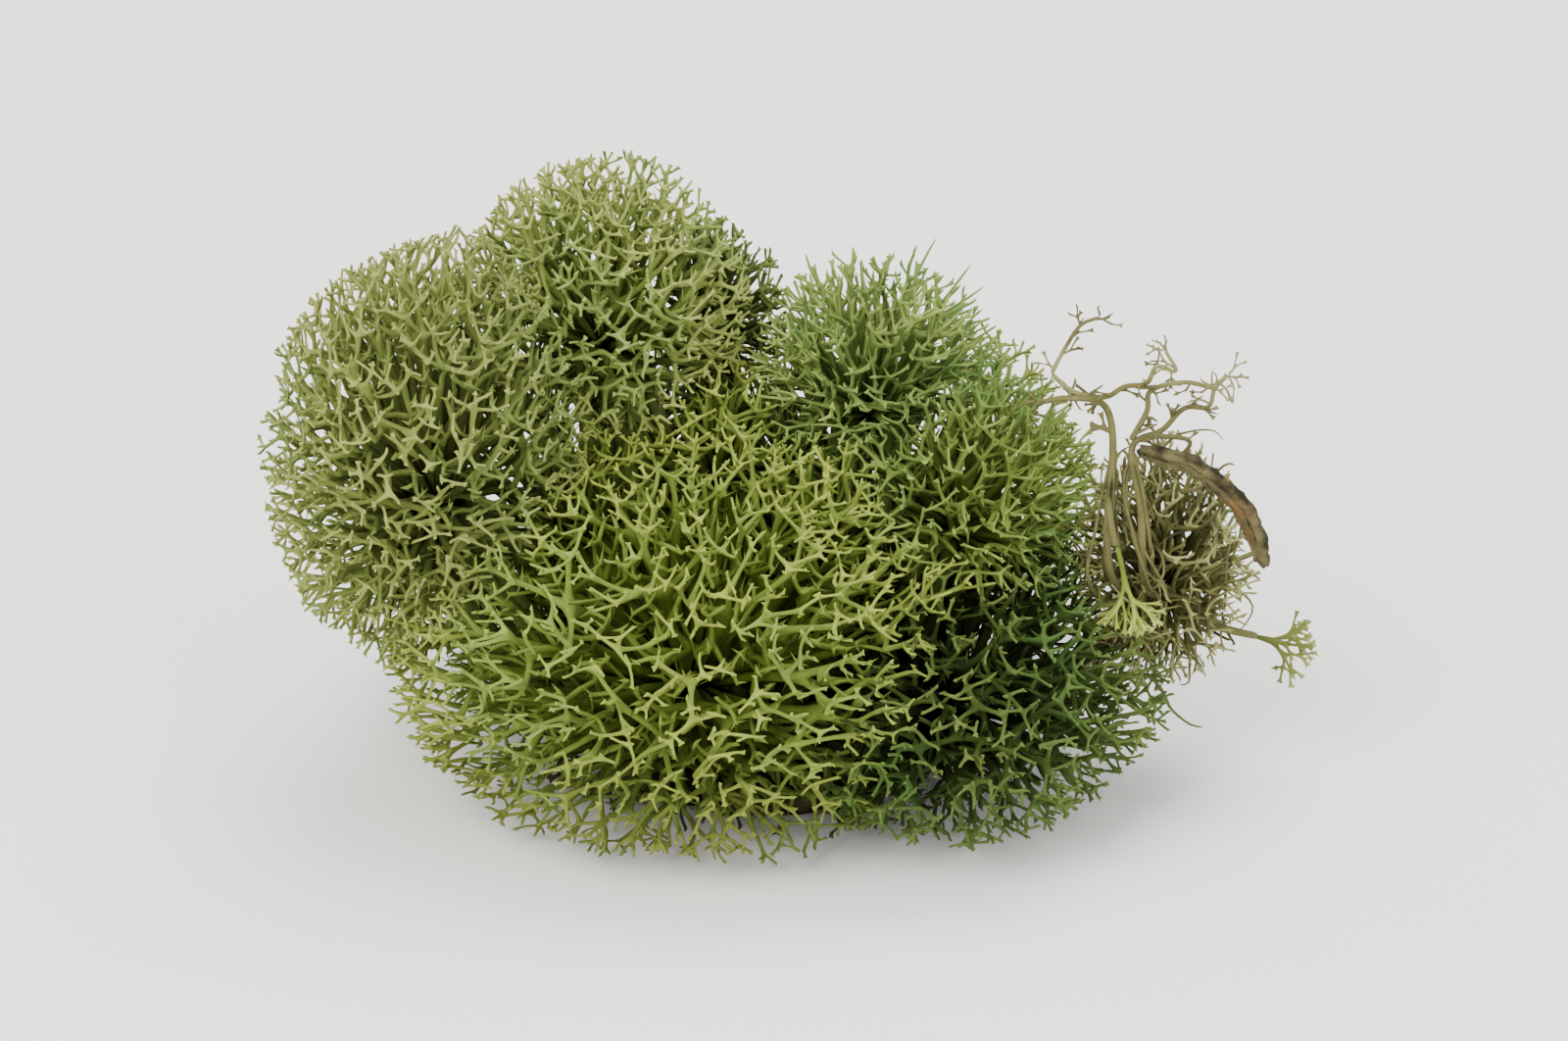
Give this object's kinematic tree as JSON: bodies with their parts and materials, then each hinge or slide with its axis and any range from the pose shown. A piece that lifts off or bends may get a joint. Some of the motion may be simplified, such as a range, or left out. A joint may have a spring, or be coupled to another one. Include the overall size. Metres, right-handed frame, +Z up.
{
  "type": "preserved lichen clump",
  "caption": "Clump of green dyed, preserved cushion lichen: rounded heads of finely forked branches on a small mat of old growth, resting on a flat spot.",
  "frame": {"origin": "on the flat spot that the clump rests on, under the middle of its upper heads", "axes": "+Z up; +X towards the dry tangle, along the clump's longest way; +Y towards its back"},
  "size_m": [0.0941, 0.0671, 0.0533],
  "materials": {
    "lichen_top": "matt, dry and soft, yellow-green",
    "lichen_crest": "matt, dry and soft, green",
    "lichen_upper_right": "matt, dry and soft, bluish green",
    "lichen_shoulder": "matt, dry and soft, bluish green",
    "lichen_left": "matt, dry and soft, yellow-green",
    "lichen_front": "matt, dry and soft, yellow-green",
    "lichen_right_low": "matt, dry and soft, dark green",
    "lichen_back": "matt, dry and soft, green",
    "old_growth": "matt, dry and brittle, olive brown",
    "dry_bark": "matt, dry and ribbed",
    "sprig_bright": "matt, dry and soft, pale yellow-green",
    "sprig_dull": "matt, dry and soft, olive green"
  },
  "bodies": {
    "root": {"head_top": "lichen_top", "head_crest": "lichen_crest", "head_upper_right": "lichen_upper_right", "head_shoulder": "lichen_shoulder", "head_left": "lichen_left", "head_front": "lichen_front", "head_right_low": "lichen_right_low", "head_back_left": "lichen_back", "head_back_right": "lichen_back", "old_growth": "old_growth", "bark_strip": "dry_bark", "sprig_front": "sprig_bright", "sprig_right": "sprig_dull"}
  },
  "joints": []
}
